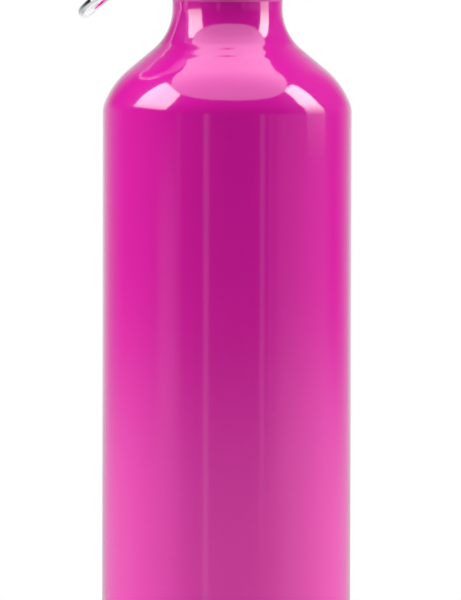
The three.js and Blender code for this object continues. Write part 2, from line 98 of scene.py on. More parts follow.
# Thread insert and seal ring
INSERT_OUTER_RADIUS = 14.8
INSERT_BORE_RADIUS = 13.9
INSERT_CREST_RADIUS = 12.7
INSERT_BOTTOM = -11.95
INSERT_TOP = -0.15
INSERT_FLANGE_RADIUS = 15.9
INSERT_FLANGE_THICKNESS = 1.0
INSERT_EDGE = 0.2
INSERT_MOUTH_BEVEL = 0.2
INSERT_FOOT_BEVEL = 0.1
SEAL_INNER_RADIUS = 12.75
SEAL_OUTER_RADIUS = 16.9
SEAL_BOTTOM = 0.3
SEAL_TOP = 1.8
SEAL_EDGE = 0.45

# Threaded stopper
STEM_RADIUS = 12.2
STEM_CREST_RADIUS = 13.35
STEM_BORE_RADIUS = 10.4
STEM_BOTTOM = -12.95
STEM_FLOOR = 1.8
STEM_CHAMFER = 0.8
STEM_EDGE = 0.4
STOPPER_FLANGE_RADIUS = 16.8
STOPPER_FLANGE_BOTTOM = 1.95
STOPPER_FLANGE_TOP = 3.75
STOPPER_EDGE = 0.25

# Cap and its loop
CAP_BOTTOM = 0.55
CAP_TOP = 12.15
CAP_BOTTOM_RADIUS = 18.5
CAP_TOP_RADIUS = 17.9
CAP_EDGE_RADIUS = 3.2
CAP_FOOT_CHAMFER = 1.0
CAP_SKIRT_BORE = 17.4
CAP_FOOT_RADIUS = CAP_SKIRT_BORE + 0.3  # where the flat of the foot begins
CAP_LEDGE = 4.05
CAP_CAVITY_RADIUS = 15.8
CAP_ROOF = 3.2
CAP_ROOF_MIDDLE = 4  # radius of the flat patch inside
CAP_TOP_RINGS = (12, 8, 4, 0)  # radii of the rings of faces on the top
CAP_INNER_EDGE = 0.3
CAP_SKIRT_EDGE = 0.2
CAP_TAPER = math.atan((CAP_BOTTOM_RADIUS - CAP_TOP_RADIUS) / (CAP_TOP - CAP_BOTTOM))
FLUTE_COUNT = 30
FLUTE_RADIUS = 1.1
FLUTE_DEPTH = 0.45
FLUTE_TOP = 8.75
FLUTE_RUN_OUT = 1.2  # height over which a flute ends
# Where faces meet round the cap: in shares of a flute's half width, and of the way to the next flute
FLUTE_SHARES = (-1.08, -1, -0.92, -0.75, -0.5, -0.25, 0, 0.25, 0.5, 0.75, 0.92, 1, 1.08)
LAND_SHARES = (0.37, 0.5, 0.63)
LOOP_INNER_RADIUS = 9.5
LOOP_OUTER_RADIUS = 13.5
LOOP_CENTRE_HEIGHT = 18.12
LOOP_THICKNESS = 6.4
LOOP_EDGE = 1.6
LOOP_FOOT_RADIUS = 1.4
LOOP_ROOT = 2.9

# Carabiner, drawn flat: x from the end in the loop to the far end, y across, z through it
LINK_SLOPE = math.radians(40.2)
LINK_LENGTH = 48.7
BAR_RADIUS = 2
BAR_SKIN_RADIUS = 1.94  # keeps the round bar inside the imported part's box
SMALL_END_RADIUS = 9
LARGE_END_RADIUS = 11
LOOP_PLAY = 0.5
HINGE_STATION = 3.5
LATCH_STATION = 25.7
GATE_LENGTH = LATCH_STATION - HINGE_STATION
HINGE_SETBACK = 2.4
NOSE_SETBACK = 2.0
BAR_END_ROUND = 0.35

# Gate and its small parts, drawn from the hinge with x along the gate
TONGUE_THICKNESS = 1.5
TONGUE_RADIUS = 1.85
TONGUE_ARM_HALF_HEIGHT = 1.65
JOIN_OVERLAP = 0.8
CAM_FLAT = 1.1
SLOT_WIDTH = 1.9
HINGE_SLOT_END = 3.2
GATE_OVERHANG = 1.5
NOSE_SLOT_DEPTH = 2.7
NOSE_REACH = 2.0
NOSE_HALF_HEIGHT = 1.75
NOTCH_HALF_WIDTH = 0.9
PIN_PLAY = 0.16
RIVET_RADIUS = 0.62
RIVET_HEAD_RADIUS = 1.05
RIVET_HEAD_HEIGHT = 0.4
RIVET_HEAD_EDGE = 0.3  # share of the head's height below its dome
RIVET_HALF_LENGTH = 2.08
PIN_RADIUS = 0.6
PIN_HALF_LENGTH = 1.9
PIN_EDGE = 0.15
BORE_RADIUS = 1.2
BORE_END = 12.6
PLUNGER_RADIUS = 0.85
PLUNGER_TIP = 1.25
PLUNGER_LENGTH = 5
PLUNGER_EDGE = 0.3
SPRING_RADIUS = 0.86
SPRING_WIRE_RADIUS = 0.15
SPRING_TURNS = 7
SPRING_START = 6.6
SPRING_END = 12.3
CLEAR = 3  # cutters reach this far from the bar's middle

# Sides of the round meshes
SHELL_SIDES = 192
THREAD_SIDES = 120
SEAL_SIDES = 96
BAR_SIDES = 28
GATE_SIDES = 36
HOLE_SIDES = 24
PIN_SIDES = 24
RIVET_SIDES = 28
SPRING_SIDES = 8
SPRING_STEPS = 20  # in each turn
STAGE_SIDES = 96

# Colours
LACQUER = (0.66, 0.006, 0.342)
BARE_ALUMINIUM = (0.78, 0.785, 0.79)
LINING = (0.52, 0.36, 0.16)
NATURAL_PLASTIC = (0.8, 0.78, 0.73)
SILICONE = (0.68, 0.7, 0.72)
STOPPER_PLASTIC = (0.018, 0.018, 0.02)
BLACK_PLASTIC = (0.012, 0.012, 0.013)
POLISHED_METAL = (0.8, 0.81, 0.82)
PIN_STEEL = (0.55, 0.56, 0.58)
SPRING_STEEL = (0.42, 0.43, 0.45)

# Depths of the grain on surfaces
LACQUER_PEEL = 0.004
LACQUER_GRAIN = 0.0002
LATHE_MARKS = 0.003
LINING_SPRAY = 0.03
GRAIN_RANGE = (0.3, 0.7)  # most values of a noise pattern, whose whole range is 0 to 1

# Picture
PICTURE_WIDTH = 461
PICTURE_HEIGHT = 600
BODY_PIXELS = 248.6  # width of the straight wall in the picture
PIXEL = 2 * BODY_RADIUS / BODY_PIXELS  # millimetres at the bottle's axis
PICTURE_TOP = 217  # height at the picture's top edge
AXIS_PIXEL = 226.8
CAMERA_ROLL = math.radians(0.138)
CAMERA_DISTANCE = 1500
SENSOR = 36

# Studio
FLOOR_RADIUS = 600
FLOOR_COLOUR = (0.62, 0.62, 0.62)
FLOOR_FADE = (220, 360)  # the floor ends here, and the table among the lights goes on
FLOOR_WHITE = (160, 340)  # the shadow is kept inside this, and plain white is seen outside it
AMBIENT = 0.035
# A light by direction has an azimuth from the camera's side, + to the right, and an elevation from the
# horizon, each as low edge, high edge, low softness and high softness in degrees, and then a radiance.
# The softboxes are far off and light what is matt. Gloss mirrors the light cards instead.
SOFTBOXES = {
    "left softbox": ((-116, -60, 8, 6), (14, 54, 10, 5), 6.35),
    "right softbox": ((66, 148, 5, 7), (4, 52, 14, 6), 4.2),
    "overhead": ((-200, 200, 1, 1), (55, 100, 10, 1), 2.0),
}
# The room, with the table far from the bottle, which is brightest beside the softboxes
ROOM = {
    "backdrop at the left": ((-200, -147.5, 1, 85), (-4.7, 9, 2.6, 16), 0.85),
    "backdrop at the right": ((151, 200, 78, 1), (-4.7, 9, 2.6, 16), 0.85),
    "wall behind, left": ((-200, -160, 1, 50), (9, 46, 16, 14), 0.7),
    "wall behind, right": ((160, 200, 50, 1), (9, 46, 16, 14), 0.7),
    "table behind, left": ((-200, -150, 1, 40), (-60, -10, 10, 4), 0.48),
    "table behind, right": ((150, 200, 40, 1), (-60, -10, 10, 4), 0.48),
    "left streak": ((-21.5, -16.5, 3, 3), (-8, 3, 3, 3), 0.32),
    "right streak": ((30.5, 35, 1.5, 1.5), (-6, 3, 4, 3), 0.26),
    "right thin streak": ((39, 41.5, 1.5, 1.5), (-6, 3, 4, 3), 0.16),
    "left thin streak": ((-46.5, -44, 1.5, 1.5), (-5, 3, 3, 3), 0.18),
    "dim wall at the left": ((-130, -68, 30, 20), (-4.8, 6, 3, 4), 0.045),
    "left haze": ((-66, -48, 12, 4), (-4.8, -2, 1.6, 1.4), 0.26),
    "right haze": ((45, 108, 14, 24), (-4.9, 3, 2, 4), 0.17),
    "table": ((-200, 200, 1, 1), (-100, -4.7, 1, 2.6), 0.52),
    "table at the left": ((-118, -46, 50, 40), (-100, -4.1, 1, 2.4), 0.28),
    "table at the right": ((48, 118, 40, 50), (-100, -4.1, 1, 2.4), 0.4),
}
# Light cards close round the neck. Each is a squared oval, with a radiance that changes along one axis
# from one place to another.
CARDS = {
    "left_card": {
        "middle": (-120, -47, 278),
        "half": (0, 45, 60),
        "squareness": 12,
        "axis": "Z",
        "places": (214, 262),
        "radiances": (3.3, 5.8),
        "colour": (1, 0.98, 0.91),
    },
    "right_card": {
        "middle": (140, -25, 258),
        "half": (0, 27, 90),
        "squareness": 12,
        "axis": "Z",
        "places": (167, 280),
        "radiances": (0.3, 7.0),
        "colour": (1, 0.97, 0.84),
    },
    "overhead_card": {
        "middle": (4, -47, 270),
        "half": (77, 60, 0),
        "squareness": 2,
        "axis": "Y",
        "places": (-60, -8),
        "radiances": (1.35, 1.95),
        "colour": (1, 1, 1),
    },
}


# Shapes

def arc(centre, radius, start, end, steps):
    """Points along a circle from one angle to another."""
    points = []
    for step in range(steps + 1):
        angle = start + (end - start) * step / steps
        points.append((centre[0] + radius * math.cos(angle), centre[1] + radius * math.sin(angle)))
    return points


def softened(points, size, closed=False, steps=3):
    """A polyline whose corners are turned by short curves."""
    count = len(points)
    made = []
    for index, point in enumerate(points):
        if not closed and index in (0, count - 1):
            made.append(point)
            continue
        corner = Vector(point)
        before = Vector(points[index - 1]) - corner
        after = Vector(points[(index + 1) % count]) - corner
        start = corner + before.normalized() * min(size, before.length * SOFT_SHARE)
        end = corner + after.normalized() * min(size, after.length * SOFT_SHARE)
        for step in range(steps + 1):
            share = step / steps
            bend = start.lerp(corner, share).lerp(corner.lerp(end, share), share)
            made.append(tuple(bend))
    return made


def piece(name, points, faces, place=RESTING):
    """A new mesh object. The points are in millimetres, before place moves them."""
    mesh = bpy.data.meshes.new(name)
    mesh.from_pydata([(place @ Vector(point)) * MM for point in points], [], faces)
    made = bpy.data.objects.new(name, mesh)
    bpy.context.scene.collection.objects.link(made)
    return made


def metres(places):
    return [place * MM for place in places]


def even_angles(count):
    return [TURN * step / count for step in range(count)]


def turned_points(rows, angles, reshape):
    """The points of row after row, and where each row starts. A row on the axis is a single point."""
    points = []
    starts = []
    for radius, height in rows:
        starts.append(len(points))
        if radius == 0:
            points.append((0, 0, height))
            continue
        for angle in angles:
            reach = reshape(angle, radius, height) if reshape else radius
            points.append((reach * math.cos(angle), reach * math.sin(angle), height))
    return points, starts


def faces_between(low, high, low_on_axis, high_on_axis, count):
    """The faces from one row to the next, which start at these points. They are triangles at the axis."""
    faces = []
    for step in range(count):
        following = (step + 1) % count
        if low_on_axis:
            faces.append([low, high + following, high + step])
        elif high_on_axis:
            faces.append([low + step, low + following, high])
        else:
            faces.append([low + step, low + following, high + following, high + step])
    return faces


def turned(name, profile, angles, reshape=None, place=RESTING, zones=None):
    """A solid of revolution about z. The profile of (radius, height) runs from the axis to the axis, or
    back to its own start. reshape(angle, radius, height) gives a point's radius where it isn't round, and
    zones gives the material of each row of faces."""
    ring = profile[0] == profile[-1]
    rows = profile[:-1] if ring else profile
    points, starts = turned_points(rows, angles, reshape)
    faces = []
    face_zones = []
    for low in range(len(profile) - 1):
        high = (low + 1) % len(rows)
        on_axis = [rows[low][0] == 0, rows[high][0] == 0]
        if all(on_axis):
            continue
        added = faces_between(starts[low], starts[high], *on_axis, len(angles))
        faces += added
        face_zones += [zones[low] if zones else 0] * len(added)
    made = piece(name, points, faces, place)
    made.data.polygons.foreach_set("material_index", face_zones)
    return made


def skin(name, sections, place=RESTING):
    """A tube through sections of equally many points, closed by flat ends."""
    sides = len(sections[0])
    last = (len(sections) - 1) * sides
    faces = []
    for row in range(len(sections) - 1):
        for side in range(sides):
            corner = row * sides + side
            beside = row * sides + (side + 1) % sides
            faces.append([corner, beside, beside + sides, corner + sides])
    faces.append(list(range(sides - 1, -1, -1)))
    faces.append(list(range(last, last + sides)))
    return piece(name, [point for section in sections for point in section], faces, place)


def plate(name, outline, low, high, place=RESTING):
    """A flat outline, drawn anticlockwise, made as thick as from low to high."""
    sections = [[(x, y, height) for x, y in outline] for height in (low, high)]
    return skin(name, sections, place)


def block(name, low, high, place=RESTING):
    outline = [(low[0], low[1]), (high[0], low[1]), (high[0], high[1]), (low[0], high[1])]
    return plate(name, outline, low[2], high[2], place)


def rod(name, radius, low, high, sides, place=RESTING):
    """A round bar along z. Its corners are half a step round, off the seams of the bar that it cuts."""
    half_step = TURN / sides / 2
    return plate(name, arc((0, 0), radius, half_step, TURN - half_step, sides - 1), low, high, place)


def combine(first, tool, operation):
    """Adds, cuts or intersects one closed solid with another, which is used up."""
    change = first.modifiers.new(operation, "BOOLEAN")
    change.operation = operation
    change.solver = "EXACT"
    change.object = tool
    made = first.evaluated_get(bpy.context.evaluated_depsgraph_get())
    mesh = bpy.data.meshes.new_from_object(made)
    first.modifiers.clear()
    old_mesh, tool_mesh = first.data, tool.data
    first.data = mesh
    mesh.name = first.name
    bpy.data.objects.remove(tool)
    bpy.data.meshes.remove(tool_mesh)
    bpy.data.meshes.remove(old_mesh)


def finish(made, materials, body, node, sharp_degrees):
    """Gives a piece its materials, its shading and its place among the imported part's bodies. Edges that
    turn by more than sharp_degrees stay sharp."""
    for material in materials:
        made.data.materials.append(material)
    made.data.shade_smooth()
    made.data.set_sharp_from_angle(angle=math.radians(sharp_degrees))
    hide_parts(node)
    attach(made, body)


# Materials

class Nodes:
    """A node tree, with short ways of adding to it."""

    def __init__(self, tree):
        self.tree = tree

    def add(self, kind, settings=None, **inputs):
        node = self.tree.nodes.new("ShaderNode" + kind)
        for name, value in (settings or {}).items():
            setattr(node, name, value)
        for name, value in inputs.items():
            self.feed(node.inputs[name.replace("_", " ")], value)
        return node

    def feed(self, socket, value):
        if isinstance(value, bpy.types.NodeSocket):
            self.tree.links.new(value, socket)
        else:
            socket.default_value = value

    def math(self, operation, first, second=0.0):
        node = self.add("Math", {"operation": operation})
        self.feed(node.inputs[0], first)
        self.feed(node.inputs[1], second)
        return node.outputs[0]

    def fitted(self, value, low, high, to_low, to_high, smooth_ends=False):
        kind = "SMOOTHSTEP" if smooth_ends else "LINEAR"
        node = self.add(
            "MapRange",
            {"interpolation_type": kind},
            Value=value,
            From_Min=low,
            From_Max=high,
            To_Min=to_low,
            To_Max=to_high,
        )
        return node.outputs[0]

    def mean(self, first, second, share=0.5):
        """A mean of two values, with this share of the first."""
        part = self.math("MULTIPLY", first, share)
        return self.math("ADD", part, self.math("MULTIPLY", second, 1 - share))

    def along(self, axis):
        """The coordinate in metres along one axis of the piece."""
        place = self.add("TexCoord").outputs["Object"]
        return self.add("SeparateXYZ", Vector=place).outputs[axis]

    def stretched(self, x, y, z):
        """Coordinates in metres on the piece, each multiplied."""
        place = self.add("TexCoord").outputs["Object"]
        return self.add("Mapping", Vector=place, Scale=(x, y, z)).outputs[0]

    def noise(self, vector, scale, detail=2.0, roughness=0.5):
        node = self.add("TexNoise", Vector=vector, Scale=scale, Detail=detail, Roughness=roughness)
        return node.outputs[0]

    def blend(self, share, first, second):
        node = self.add("Mix", {"data_type": "RGBA"})
        self.feed(node.inputs[0], share)
        self.feed(node.inputs[6], first)
        self.feed(node.inputs[7], second)
        return node.outputs[2]

    def bump(self, height, depth, under=None):
        """A normal for waves of this depth in millimetres, on top of another normal."""
        node = self.add("Bump", Height=height, Distance=depth * MM, Strength=1.0)
        if under:
            self.feed(node.inputs["Normal"], under)
        return node.outputs[0]

    def mixed(self, share, first, second):
        """One surface fading into another."""
        node = self.add("MixShader", Fac=share)
        self.feed(node.inputs[1], first)
        self.feed(node.inputs[2], second)
        return node.outputs[0]

    def show(self, surface):
        self.feed(self.tree.nodes["Material Output"].inputs["Surface"], surface)


def new_material(name, **constants):
    """A material with one Principled shader, and the constants set on its own sockets."""
    material = bpy.data.materials.new(name)
    material.use_nodes = True
    tree = material.node_tree
    shader = tree.nodes["Principled BSDF"]
    for key, value in constants.items():
        shader.inputs[key.replace("_", " ")].default_value = value
    return material, Nodes(tree), shader


def vary(nodes, shader, colour, roughness, normal):
    """Feeds a shader what changes from place to place."""
    nodes.feed(shader.inputs["Base Color"], colour)
    nodes.feed(shader.inputs["Roughness"], roughness)
    nodes.feed(shader.inputs["Normal"], normal)


def scaled(colour, factor):
    return tuple(channel * factor for channel in colour) + (1.0,)


def forming_rings(nodes):
    """A normal for the slight waves at the foot of the neck."""
    height = nodes.along("Z")
    above = nodes.math("SUBTRACT", height, FORMING_RING_HEIGHT * MM)
    wave = nodes.math("SINE", nodes.math("MULTIPLY", above, TURN / (FORMING_RING_PITCH * MM)))
    rise = nodes.fitted(height, *metres(FORMING_RING_RISE), 0, 1, smooth_ends=True)
    fall = nodes.fitted(height, *metres(FORMING_RING_FALL), 1, 0, smooth_ends=True)
    share = nodes.math("MULTIPLY", rise, fall)
    return nodes.bump(nodes.math("MULTIPLY", wave, share), FORMING_RING_DEPTH)


def lacquer_material():
    """Clear glossy lacquer over a magenta coat on drawn metal, whose turned grain just shows."""
    material, nodes, shader = new_material(
        "magenta_lacquer", IOR=1.5, Coat_Weight=1.0, Coat_Roughness=0.035, Coat_IOR=1.5
    )
    grain = nodes.noise(nodes.stretched(45, 45, 5200), scale=1.0, detail=3.0, roughness=0.6)
    clouds = nodes.noise(nodes.stretched(1, 1, 0.6), scale=55)
    peel = nodes.noise(nodes.stretched(1, 1, 1), scale=330, detail=1.0)
    share = nodes.fitted(nodes.mean(grain, clouds, 0.6), *GRAIN_RANGE, 0.0, 1.0)
    colour = nodes.blend(share, scaled(LACQUER, 0.965), scaled(LACQUER, 1.03))
    roughness = nodes.fitted(grain, *GRAIN_RANGE, 0.09, 0.13)
    skin_normal = nodes.bump(peel, LACQUER_PEEL, forming_rings(nodes))
    nodes.feed(shader.inputs["Coat Normal"], skin_normal)
    vary(nodes, shader, colour, roughness, nodes.bump(grain, LACQUER_GRAIN, skin_normal))
    return material


def bare_metal_material():
    """Bare drawn aluminium with lathe marks that run round it."""
    material, nodes, shader = new_material("bare_aluminium", Metallic=1.0)
    lines = nodes.noise(nodes.stretched(60, 60, 9000), scale=1.0, detail=3.0, roughness=0.6)
    colour = nodes.blend(lines, scaled(BARE_ALUMINIUM, 0.88), scaled(BARE_ALUMINIUM, 1.05))
    roughness = nodes.fitted(lines, *GRAIN_RANGE, 0.22, 0.4)
    vary(nodes, shader, colour, roughness, nodes.bump(lines, LATHE_MARKS))
    return material


def lining_material():
    """Sprayed lining on the inside of the shell, with a slight orange-peel skin."""
    material, nodes, shader = new_material("inner_lining", Metallic=0.3)
    spray = nodes.noise(nodes.stretched(1, 1, 1), scale=420, detail=3.0)
    colour = nodes.blend(spray, scaled(LINING, 0.85), scaled(LINING, 1.1))
    roughness = nodes.fitted(spray, *GRAIN_RANGE, 0.28, 0.42)
    vary(nodes, shader, colour, roughness, nodes.bump(spray, LINING_SPRAY))
    return material


def moulded_material(name, colour, roughness, grain_scale, grain_depth, **constants):
    """Moulded plastic or rubber: an even colour with faint clouds, and a fine grain from the mould."""
    material, nodes, shader = new_material(name, **constants)
    grain = nodes.noise(nodes.stretched(1, 1, 1), scale=grain_scale, detail=3.0, roughness=0.6)
    clouds = nodes.noise(nodes.stretched(1, 1, 1), scale=90)
    share = nodes.fitted(nodes.mean(grain, clouds), 0.35, 0.65, 0.0, 1.0)
    mottled = nodes.blend(share, scaled(colour, 0.85), scaled(colour, 1.15))
    uneven = nodes.fitted(grain, *GRAIN_RANGE, roughness - 0.06, roughness + 0.08)
    vary(nodes, shader, mottled, uneven, nodes.bump(grain, grain_depth))
    return material


def metal_material(name, colour, roughness, mark_depth):
    """Metal with faint polishing marks and a slightly uneven gloss."""
    material, nodes, shader = new_material(name, Metallic=1.0)
    marks = nodes.noise(nodes.stretched(500, 3800, 900), scale=1.0, detail=3.0, roughness=0.6)
    haze = nodes.noise(nodes.stretched(1, 1, 1), scale=260)
    gloss = nodes.mean(marks, haze)
    tinted = nodes.blend(gloss, scaled(colour, 0.94), scaled(colour, 1.04))
    uneven = nodes.fitted(gloss, *GRAIN_RANGE, roughness * 0.7, roughness * 1.3)
    vary(nodes, shader, tinted, uneven, nodes.bump(marks, mark_depth))
    return material


# Bottle shell

corner_centre = (BODY_RADIUS - CORNER_RADIUS, BODY_TOP)
crown_centre = (
    corner_centre[0] + (CORNER_RADIUS - CROWN_RADIUS) * math.cos(CORNER_ANGLE),
    corner_centre[1] + (CORNER_RADIUS - CROWN_RADIUS) * math.sin(CORNER_ANGLE),
)


def neck_fillet_centre():
    radius = NECK_RADIUS + NECK_FILLET_RADIUS
    cone_radius = crown_centre[0] + CROWN_RADIUS * math.cos(SHOULDER_SLOPE)
    cone_height = crown_centre[1] + CROWN_RADIUS * math.sin(SHOULDER_SLOPE)
    cone_end = radius - NECK_FILLET_RADIUS * math.cos(SHOULDER_SLOPE)
    rise = (cone_radius - cone_end) / math.tan(SHOULDER_SLOPE)
    return radius, cone_height + rise + NECK_FILLET_RADIUS * math.sin(SHOULDER_SLOPE)


fillet_centre = neck_fillet_centre()
flare_centre = (NECK_RADIUS + FLARE_RADIUS, fillet_centre[1] + NECK_STRAIGHT)
bead_centre = (
    flare_centre[0] - (FLARE_RADIUS + LIP_BEAD_RADIUS) * math.cos(FLARE_ANGLE),
    flare_centre[1] + (FLARE_RADIUS + LIP_BEAD_RADIUS) * math.sin(FLARE_ANGLE),
)
LIP_TOP = bead_centre[1] + LIP_BEAD_RADIUS
ON_LIP = Matrix.Translation((0, 0, LIP_TOP))


def straight_wall(radius, low, high, rows):
    """Points between two heights on a wall, without its ends."""
    return [(radius, low + (high - low) * row / rows) for row in range(1, rows)]


def shoulder(inset):
    """The profile from the straight wall to the neck, on the outside or this far inside it."""
    return [
        *arc(corner_centre, CORNER_RADIUS - inset, 0, CORNER_ANGLE, steps=14),
        *arc(crown_centre, CROWN_RADIUS - inset, CORNER_ANGLE, SHOULDER_SLOPE, steps=16)[1:],
        *arc(fillet_centre, NECK_FILLET_RADIUS + inset, math.pi + SHOULDER_SLOPE, math.pi, steps=24),
    ]


heel_centre = (BODY_RADIUS - HEEL_RADIUS, HEEL_RADIUS)


def painted_profile():
    """The outside, from the middle of the base to the edge of the lacquer on the lip."""
    panel_rings = [(PANEL_RADIUS * share / 3, PANEL_HEIGHT) for share in range(3)]
    ring_end = (heel_centre[0], 0)
    corners = [panel_rings[0], (PANEL_RADIUS, PANEL_HEIGHT), (RING_INNER_RADIUS, 0), ring_end]
    return [
        *panel_rings,
        *softened(corners, BASE_EDGE)[1:-1],
        *arc(heel_centre, HEEL_RADIUS, -QUARTER, 0, steps=12),
        *straight_wall(BODY_RADIUS, HEEL_RADIUS, BODY_TOP, rows=24),
        *shoulder(0),
        *arc(flare_centre, FLARE_RADIUS, math.pi, math.pi - FLARE_ANGLE, steps=12),
        *arc(bead_centre, LIP_BEAD_RADIUS, -FLARE_ANGLE, LIP_PAINT_ANGLE, steps=14)[1:],
    ]


def bare_profile():
    """The top of the lip and the recess inside it."""
    return [
        *arc(bead_centre, LIP_BEAD_RADIUS, LIP_PAINT_ANGLE, QUARTER, steps=5)[1:],
        (LIP_RECESS_RADIUS, LIP_TOP - LIP_EDGE),
        (LIP_RECESS_RADIUS, LIP_TOP - LIP_RECESS_DEPTH),
        (NECK_RADIUS - WALL, LIP_TOP - LIP_RECESS_DEPTH),
    ]


def lined_profile():
    """The inside, from the neck to the middle of the floor."""
    radius = HEEL_RADIUS - WALL
    centre = (heel_centre[0], FLOOR_HEIGHT + radius)
    return [
        *shoulder(WALL)[::-1],
        *straight_wall(BODY_RADIUS - WALL, BODY_TOP, centre[1], rows=12),
        *arc(centre, radius, 0, -QUARTER, steps=8),
        (0, FLOOR_HEIGHT),
    ]


def shell():
    painted, bare, lined = painted_profile(), bare_profile(), lined_profile()
    zones = [0] * (len(painted) - 1) + [1] * len(bare) + [2] * len(lined)
    made = turned("shell", painted + bare + lined, even_angles(SHELL_SIDES), zones=zones)
    materials = [lacquer_material(), bare_metal_material(), lining_material()]
    finish(made, materials, "bottle", "bottle_shell", sharp_degrees=30)


# Thread insert, seal ring and stopper

def ridge_share(angle, height, start):
    """How much of a thread ridge's full height stands at a place on a threaded wall."""
    most = 0.0
    for lap in range(2):
        turns = angle / TURN + lap - RIDGE_START_TURN
        if not 0 <= turns <= RIDGE_TURNS:
            continue
        away = abs(height - start - THREAD_PITCH * turns)
        flank = (RIDGE_ROOT_WIDTH / 2 - away) / ((RIDGE_ROOT_WIDTH - RIDGE_CREST_WIDTH) / 2)
        run_out = min(turns, RIDGE_TURNS - turns) / RIDGE_RUN_OUT
        most = max(most, min(1.0, max(0.0, flank)) * min(1.0, run_out))
    return most


def threaded(wall, crest, start):
    """A reshape for turned() that raises a ridge on the wall of this radius."""
    def reshape(angle, radius, height):
        if radius != wall:
            return radius
        return wall + (crest - wall) * ridge_share(angle, height, start)
    return reshape


def fine_wall(radius, low, high):
    rows = max(2, round(abs(high - low) / THREAD_ROW))
    return straight_wall(radius, low, high, rows)


def thread_insert():
    flange_bottom = INSERT_TOP - INSERT_FLANGE_THICKNESS
    bore_top = INSERT_TOP - INSERT_MOUTH_BEVEL
    bore_bottom = INSERT_BOTTOM + INSERT_FOOT_BEVEL
    outside = softened(
        [
            (INSERT_BORE_RADIUS + INSERT_FOOT_BEVEL, INSERT_BOTTOM),
            (INSERT_OUTER_RADIUS, INSERT_BOTTOM),
            (INSERT_OUTER_RADIUS, flange_bottom),
            (INSERT_FLANGE_RADIUS, flange_bottom),
            (INSERT_FLANGE_RADIUS, INSERT_TOP),
            (INSERT_BORE_RADIUS + INSERT_MOUTH_BEVEL, INSERT_TOP),
            (INSERT_BORE_RADIUS, bore_top),
        ],
        INSERT_EDGE,
    )
    bore = fine_wall(INSERT_BORE_RADIUS, bore_top, bore_bottom)
    profile = outside + bore + [(INSERT_BORE_RADIUS, bore_bottom), outside[0]]
    reshape = threaded(INSERT_BORE_RADIUS, INSERT_CREST_RADIUS, INSERT_RIDGE_START)
    made = turned("thread_insert", profile, even_angles(THREAD_SIDES), reshape, ON_LIP)
    plastic = moulded_material(
        "natural_plastic", NATURAL_PLASTIC, roughness=0.38, grain_scale=900, grain_depth=0.01
    )
    finish(made, [plastic], "bottle", "neck_thread_insert", sharp_degrees=40)


def seal_washer():
    corners = [
        (SEAL_INNER_RADIUS, SEAL_BOTTOM),
        (SEAL_OUTER_RADIUS, SEAL_BOTTOM),
        (SEAL_OUTER_RADIUS, SEAL_TOP),
        (SEAL_INNER_RADIUS, SEAL_TOP),
    ]
    profile = softened(corners, SEAL_EDGE, closed=True, steps=5)
    made = turned("seal_washer", profile + profile[:1], even_angles(SEAL_SIDES), place=ON_LIP)
    rubber = moulded_material(
        "silicone", SILICONE, roughness=0.5, grain_scale=1500, grain_depth=0.006, Subsurface_Weight=0.15
    )
    finish(made, [rubber], "seal", "seal_ring", sharp_degrees=50)


def stopper():
    stem_low = STEM_BOTTOM + STEM_CHAMFER
    stem_high = STOPPER_FLANGE_BOTTOM - STEM_EDGE
    foot_corner = (STEM_RADIUS - STEM_CHAMFER, STEM_BOTTOM)
    foot = softened([(0, STEM_BOTTOM), foot_corner, (STEM_RADIUS, stem_low)], STEM_EDGE)
    flange = softened(
        [
            (STEM_RADIUS, stem_high),
            (STEM_RADIUS, STOPPER_FLANGE_BOTTOM),
            (STOPPER_FLANGE_RADIUS, STOPPER_FLANGE_BOTTOM),
            (STOPPER_FLANGE_RADIUS, STOPPER_FLANGE_TOP),
            (STEM_BORE_RADIUS, STOPPER_FLANGE_TOP),
            (STEM_BORE_RADIUS, STEM_BOTTOM + STEM_FLOOR),
            (0, STEM_BOTTOM + STEM_FLOOR),
        ],
        STOPPER_EDGE,
    )
    profile = foot + fine_wall(STEM_RADIUS, stem_low, stem_high) + flange
    reshape = threaded(STEM_RADIUS, STEM_CREST_RADIUS, STOPPER_RIDGE_START)
    made = turned("stopper", profile, even_angles(THREAD_SIDES), reshape, ON_LIP)
    plastic = moulded_material(
        "stopper_plastic", STOPPER_PLASTIC, roughness=0.36, grain_scale=1200, grain_depth=0.006
    )
    finish(made, [plastic], "cap", "threaded_stopper", sharp_degrees=40)


# Cap

def cap_wall_radius(height):
    return CAP_BOTTOM_RADIUS - (height - CAP_BOTTOM) * math.tan(CAP_TAPER)


def flute_angles():
    """Directions round the cap, closest together across each grip flute."""
    half_width = math.sqrt(FLUTE_RADIUS**2 - (FLUTE_RADIUS - FLUTE_DEPTH) ** 2)
    half_angle = half_width / cap_wall_radius(FLUTE_TOP / 2)
    pitch = TURN / FLUTE_COUNT
    angles = []
    for count in range(FLUTE_COUNT):
        middle = (count + 0.5) * pitch
        angles += [middle + half_angle * share for share in FLUTE_SHARES]
        angles += [middle + pitch * share for share in LAND_SHARES]
    return angles


def fluted(angle, radius, height):
    """The cap's radius where a round-nosed cutter has passed up its wall."""
    if radius <= CAP_FOOT_RADIUS or height >= FLUTE_TOP:
        return radius
    pitch = TURN / FLUTE_COUNT
    off_middle = (angle / pitch) % 1 - 0.5
    across = off_middle * pitch * radius
    above = max(0.0, height - FLUTE_TOP + FLUTE_RADIUS)
    inside = FLUTE_RADIUS**2 - across**2 - above**2
    if inside <= 0:
        return radius
    return min(radius, cap_wall_radius(height) + FLUTE_RADIUS - FLUTE_DEPTH - math.sqrt(inside))


